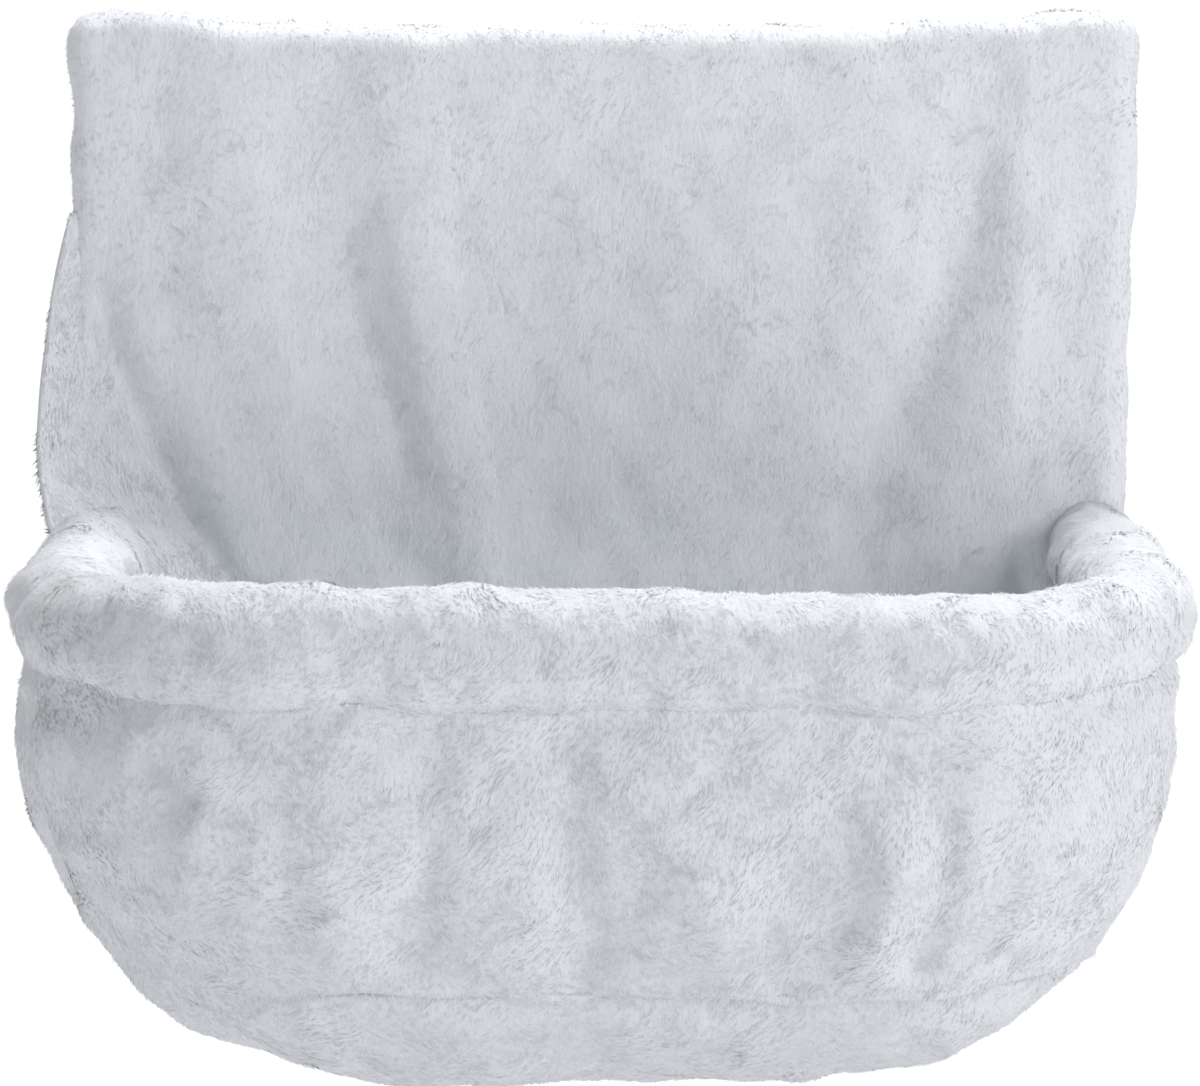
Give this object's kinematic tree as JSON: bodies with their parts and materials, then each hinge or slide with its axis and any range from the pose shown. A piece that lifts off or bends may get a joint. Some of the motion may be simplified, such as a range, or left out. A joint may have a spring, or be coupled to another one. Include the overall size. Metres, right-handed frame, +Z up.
{
  "type": "cat hammock",
  "caption": "Hanging cat bed: a plush bowl with a padded D-shaped rim and an upright back panel, on a steel frame with two sliding hooks that reach over a radiator.",
  "frame": {"origin": "middle of the radiator's top front edge: midway between the hooks, level with the underside of their pads, in the plane of the bumpers' rear faces", "axes": "+Z up; -Y towards the room, the way the bed faces; +X to the right as seen from the room"},
  "size_m": [0.448, 0.377, 0.4075],
  "materials": {
    "plush": "short-pile polyester plush, cool white",
    "liner_cloth": "plain woven polyester, cool white",
    "hook_tape": "woven hook-and-loop tape, white",
    "rim_padding": "open-cell foam tube, off-white",
    "wadding": "lofted polyester wadding, white",
    "white_steel": "satin white powder coat",
    "moulded_elbow": "moulded polypropylene, white",
    "zinc_steel": "bright zinc plate",
    "spring_steel": "plain spring steel",
    "clamp_knob": "moulded nylon, white",
    "soft_sleeve": "dipped soft vinyl, white",
    "pad_foam": "closed-cell foam, dark grey",
    "bumper_rubber": "moulded rubber, pale grey"
  },
  "bodies": {
    "root": {"back_panel": "plush", "side_gusset_left": "plush", "side_gusset_right": "plush", "rim_sleeve": "plush", "bowl_wall": "plush", "bowl_floor": "plush", "bowl_lining": "plush", "floor_lining": "plush", "closure_flap": "plush", "rear_liner": "liner_cloth", "closure_hook_strip": "hook_tape", "closure_loop_strip": "hook_tape", "rim_foam": "rim_padding", "floor_wadding": "wadding", "upright_left": "white_steel", "upright_right": "white_steel", "top_crossbar": "white_steel", "bottom_crossbar": "white_steel", "hoop_socket_left": "white_steel", "hoop_socket_right": "white_steel", "front_hoop": "white_steel", "hook_bracket_left": "white_steel", "hook_bracket_right": "white_steel", "elbow_top_left": "moulded_elbow", "elbow_top_right": "moulded_elbow", "elbow_bottom_left": "moulded_elbow", "elbow_bottom_right": "moulded_elbow", "bracket_bolts": "zinc_steel", "bracket_nuts": "zinc_steel", "bumper_screws": "zinc_steel", "clamp_nut_left": "zinc_steel", "clamp_nut_right": "zinc_steel", "clamp_washer_left": "zinc_steel", "clamp_washer_right": "zinc_steel", "button_spring_left": "spring_steel", "button_spring_right": "spring_steel", "seat_pad_left": "pad_foam", "seat_pad_right": "pad_foam", "bumper_left": "bumper_rubber", "bumper_right": "bumper_rubber"},
    "hook_arm_left": {"hook_arm_left": "white_steel", "hook_sleeve_left": "soft_sleeve"},
    "clamp_left": {"clamp_stud_left": "zinc_steel", "clamp_knob_left": "clamp_knob"},
    "snap_button_left": {"snap_button_left": "zinc_steel"},
    "hook_arm_right": {"hook_arm_right": "white_steel", "hook_sleeve_right": "soft_sleeve"},
    "clamp_right": {"clamp_stud_right": "zinc_steel", "clamp_knob_right": "clamp_knob"},
    "snap_button_right": {"snap_button_right": "zinc_steel"}
  },
  "joints": [
    {"name": "hook_arm_left_slide", "type": "slide", "parent": "root", "child": "hook_arm_left", "axis": [0, 1, 0], "range_m": [-0.02, 0.025]},
    {"name": "clamp_left_turn", "type": "hinge", "parent": "root", "child": "clamp_left", "pos_m": [-0.202, 0.047, 0.0125], "axis": [0, 0, 1], "range_deg": [0, 360]},
    {"name": "snap_button_left_press", "type": "slide", "parent": "root", "child": "snap_button_left", "axis": [1, 0, 0], "range_m": [0, 0.0034], "stiffness_N_per_m": 800, "springref_m": -0.001, "deforming": ["button_spring_left"]},
    {"name": "hook_arm_right_slide", "type": "slide", "parent": "root", "child": "hook_arm_right", "axis": [0, 1, 0], "range_m": [-0.02, 0.025]},
    {"name": "clamp_right_turn", "type": "hinge", "parent": "root", "child": "clamp_right", "pos_m": [0.202, 0.047, 0.0125], "axis": [0, 0, 1], "range_deg": [0, 360]},
    {"name": "snap_button_right_press", "type": "slide", "parent": "root", "child": "snap_button_right", "axis": [-1, 0, 0], "range_m": [0, 0.0034], "stiffness_N_per_m": 800, "springref_m": -0.001, "deforming": ["button_spring_right"]}
  ]
}
